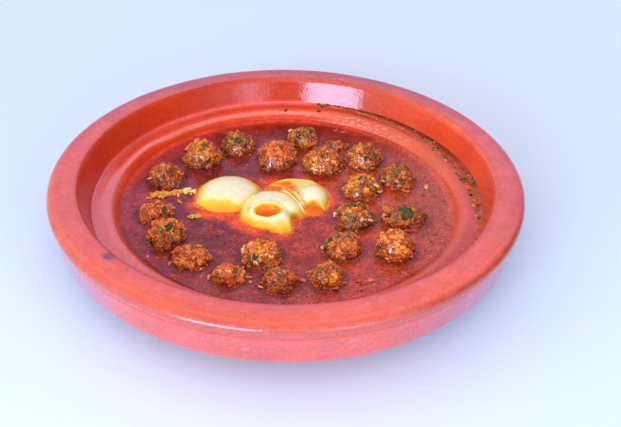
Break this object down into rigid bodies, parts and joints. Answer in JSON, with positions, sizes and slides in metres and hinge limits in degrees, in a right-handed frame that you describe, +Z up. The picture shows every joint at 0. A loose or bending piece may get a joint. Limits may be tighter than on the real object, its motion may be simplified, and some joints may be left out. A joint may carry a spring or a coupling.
{
  "type": "filled tagine base",
  "caption": "Shallow round glazed terracotta tagine base with a broad rim and a lid seat, holding meatballs and poached eggs in a thin oily tomato sauce.",
  "frame": {"origin": "centre of the foot ring's underside, on the surface the dish stands on", "axes": "+Z up, along the dish's axis; +X across the dish to the right; -Y towards the front"},
  "size_m": [0.32, 0.32, 0.0534],
  "materials": {
    "glazed_terracotta": "glossy glaze",
    "sauce": "wet, oily",
    "meat": "rough, moist",
    "egg": "smooth, moist",
    "tomato": "moist"
  },
  "bodies": {
    "root": {"dish": "glazed_terracotta", "sauce": "sauce", "meatball_01": "meat", "meatball_02": "meat", "meatball_03": "meat", "meatball_04": "meat", "meatball_05": "meat", "meatball_06": "meat", "meatball_07": "meat", "meatball_08": "meat", "meatball_09": "meat", "meatball_10": "meat", "meatball_11": "meat", "meatball_12": "meat", "meatball_13": "meat", "meatball_14": "meat", "meatball_15": "meat", "meatball_16": "meat", "meatball_17": "meat", "meatball_18": "meat", "meatball_19": "meat", "meatball_20": "meat", "meatball_21": "meat", "egg_front": "egg", "egg_left": "egg", "egg_right": "egg", "egg_shred": "egg", "egg_bit": "egg", "tomato_piece": "tomato"}
  },
  "joints": []
}
